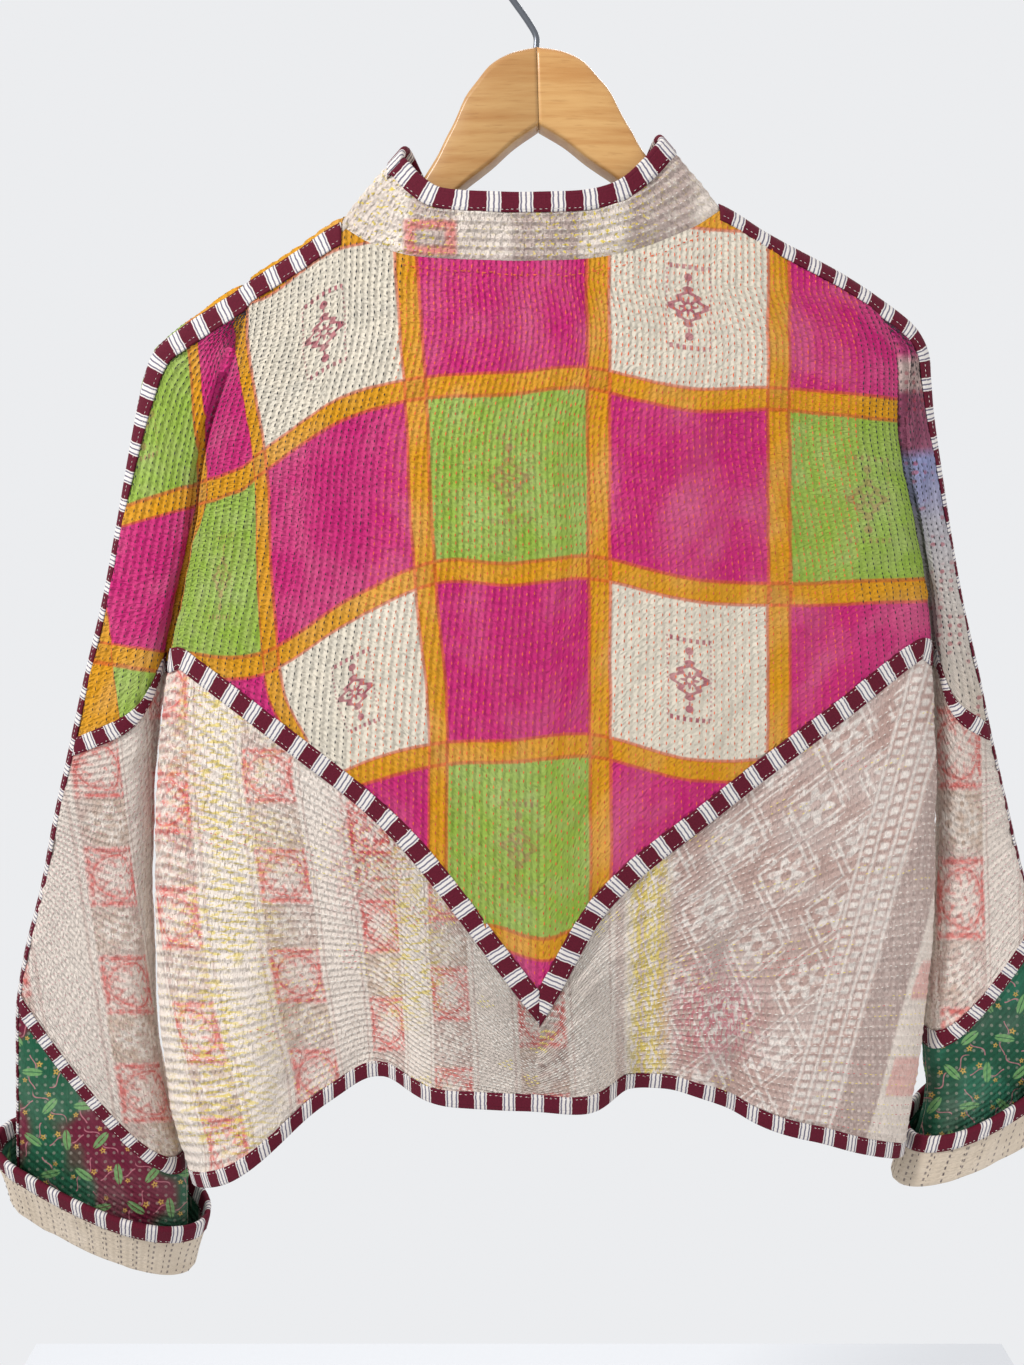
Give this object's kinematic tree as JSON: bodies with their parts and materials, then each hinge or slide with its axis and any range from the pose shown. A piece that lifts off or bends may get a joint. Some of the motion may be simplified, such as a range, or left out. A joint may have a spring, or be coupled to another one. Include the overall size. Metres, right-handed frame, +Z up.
{
  "type": "kantha jacket on a wooden hanger",
  "caption": "Cropped open-front quilted cotton jacket with a stand collar, pieced panels and turned-back cuffs, hanging on a contoured wooden hanger with a wire hook.",
  "frame": {"origin": "inside top of the hanger hook's bend, where a rod or wall hook holds it", "axes": "+Z up, +X towards the wearer's right sleeve, +Y from the jacket's back towards its open front"},
  "size_m": [0.8678, 0.129, 0.9951],
  "materials": {
    "yoke_cotton": "matte quilted cotton, magenta and green check with ochre bands",
    "body_cotton": "matte quilted cotton, faded rose and cream block print",
    "collar_cotton": "matte quilted cotton, faded cream print",
    "sleeve_end_cotton": "matte quilted cotton, dark green and maroon print",
    "striped_trim": "matte cotton strip, maroon and white blocks",
    "hanger_wood": "clear satin lacquer on honey coloured wood",
    "hook_wire": "dark steel wire"
  },
  "bodies": {
    "root": {"back_yoke": "yoke_cotton", "back_lower": "body_cotton", "collar": "collar_cotton", "front_yoke_left": "yoke_cotton", "front_yoke_right": "yoke_cotton", "front_lower_left": "body_cotton", "sleeve_middle_back_left": "body_cotton", "sleeve_end_back_left": "sleeve_end_cotton", "sleeve_middle_front_left": "body_cotton", "sleeve_end_front_left": "sleeve_end_cotton", "front_lower_right": "body_cotton", "sleeve_middle_back_right": "body_cotton", "sleeve_end_back_right": "sleeve_end_cotton", "sleeve_middle_front_right": "body_cotton", "sleeve_end_front_right": "sleeve_end_cotton", "back_zigzag_strip": "striped_trim", "overarm_strip_left": "striped_trim", "front_zigzag_strip_left": "striped_trim", "sleeve_zigzag_strip_back_left": "striped_trim", "sleeve_zigzag_strip_front_left": "striped_trim", "sleeve_second_strip_left": "striped_trim", "cuff_binding_left": "striped_trim", "front_edge_binding_left": "striped_trim", "overarm_strip_right": "striped_trim", "front_zigzag_strip_right": "striped_trim", "sleeve_zigzag_strip_back_right": "striped_trim", "sleeve_zigzag_strip_front_right": "striped_trim", "sleeve_second_strip_right": "striped_trim", "cuff_binding_right": "striped_trim", "front_edge_binding_right": "striped_trim", "hem_binding": "striped_trim", "collar_binding": "striped_trim", "hanger_arm_left": "hanger_wood", "hanger_arm_right": "hanger_wood", "hanger_hook": "hook_wire"}
  },
  "joints": []
}
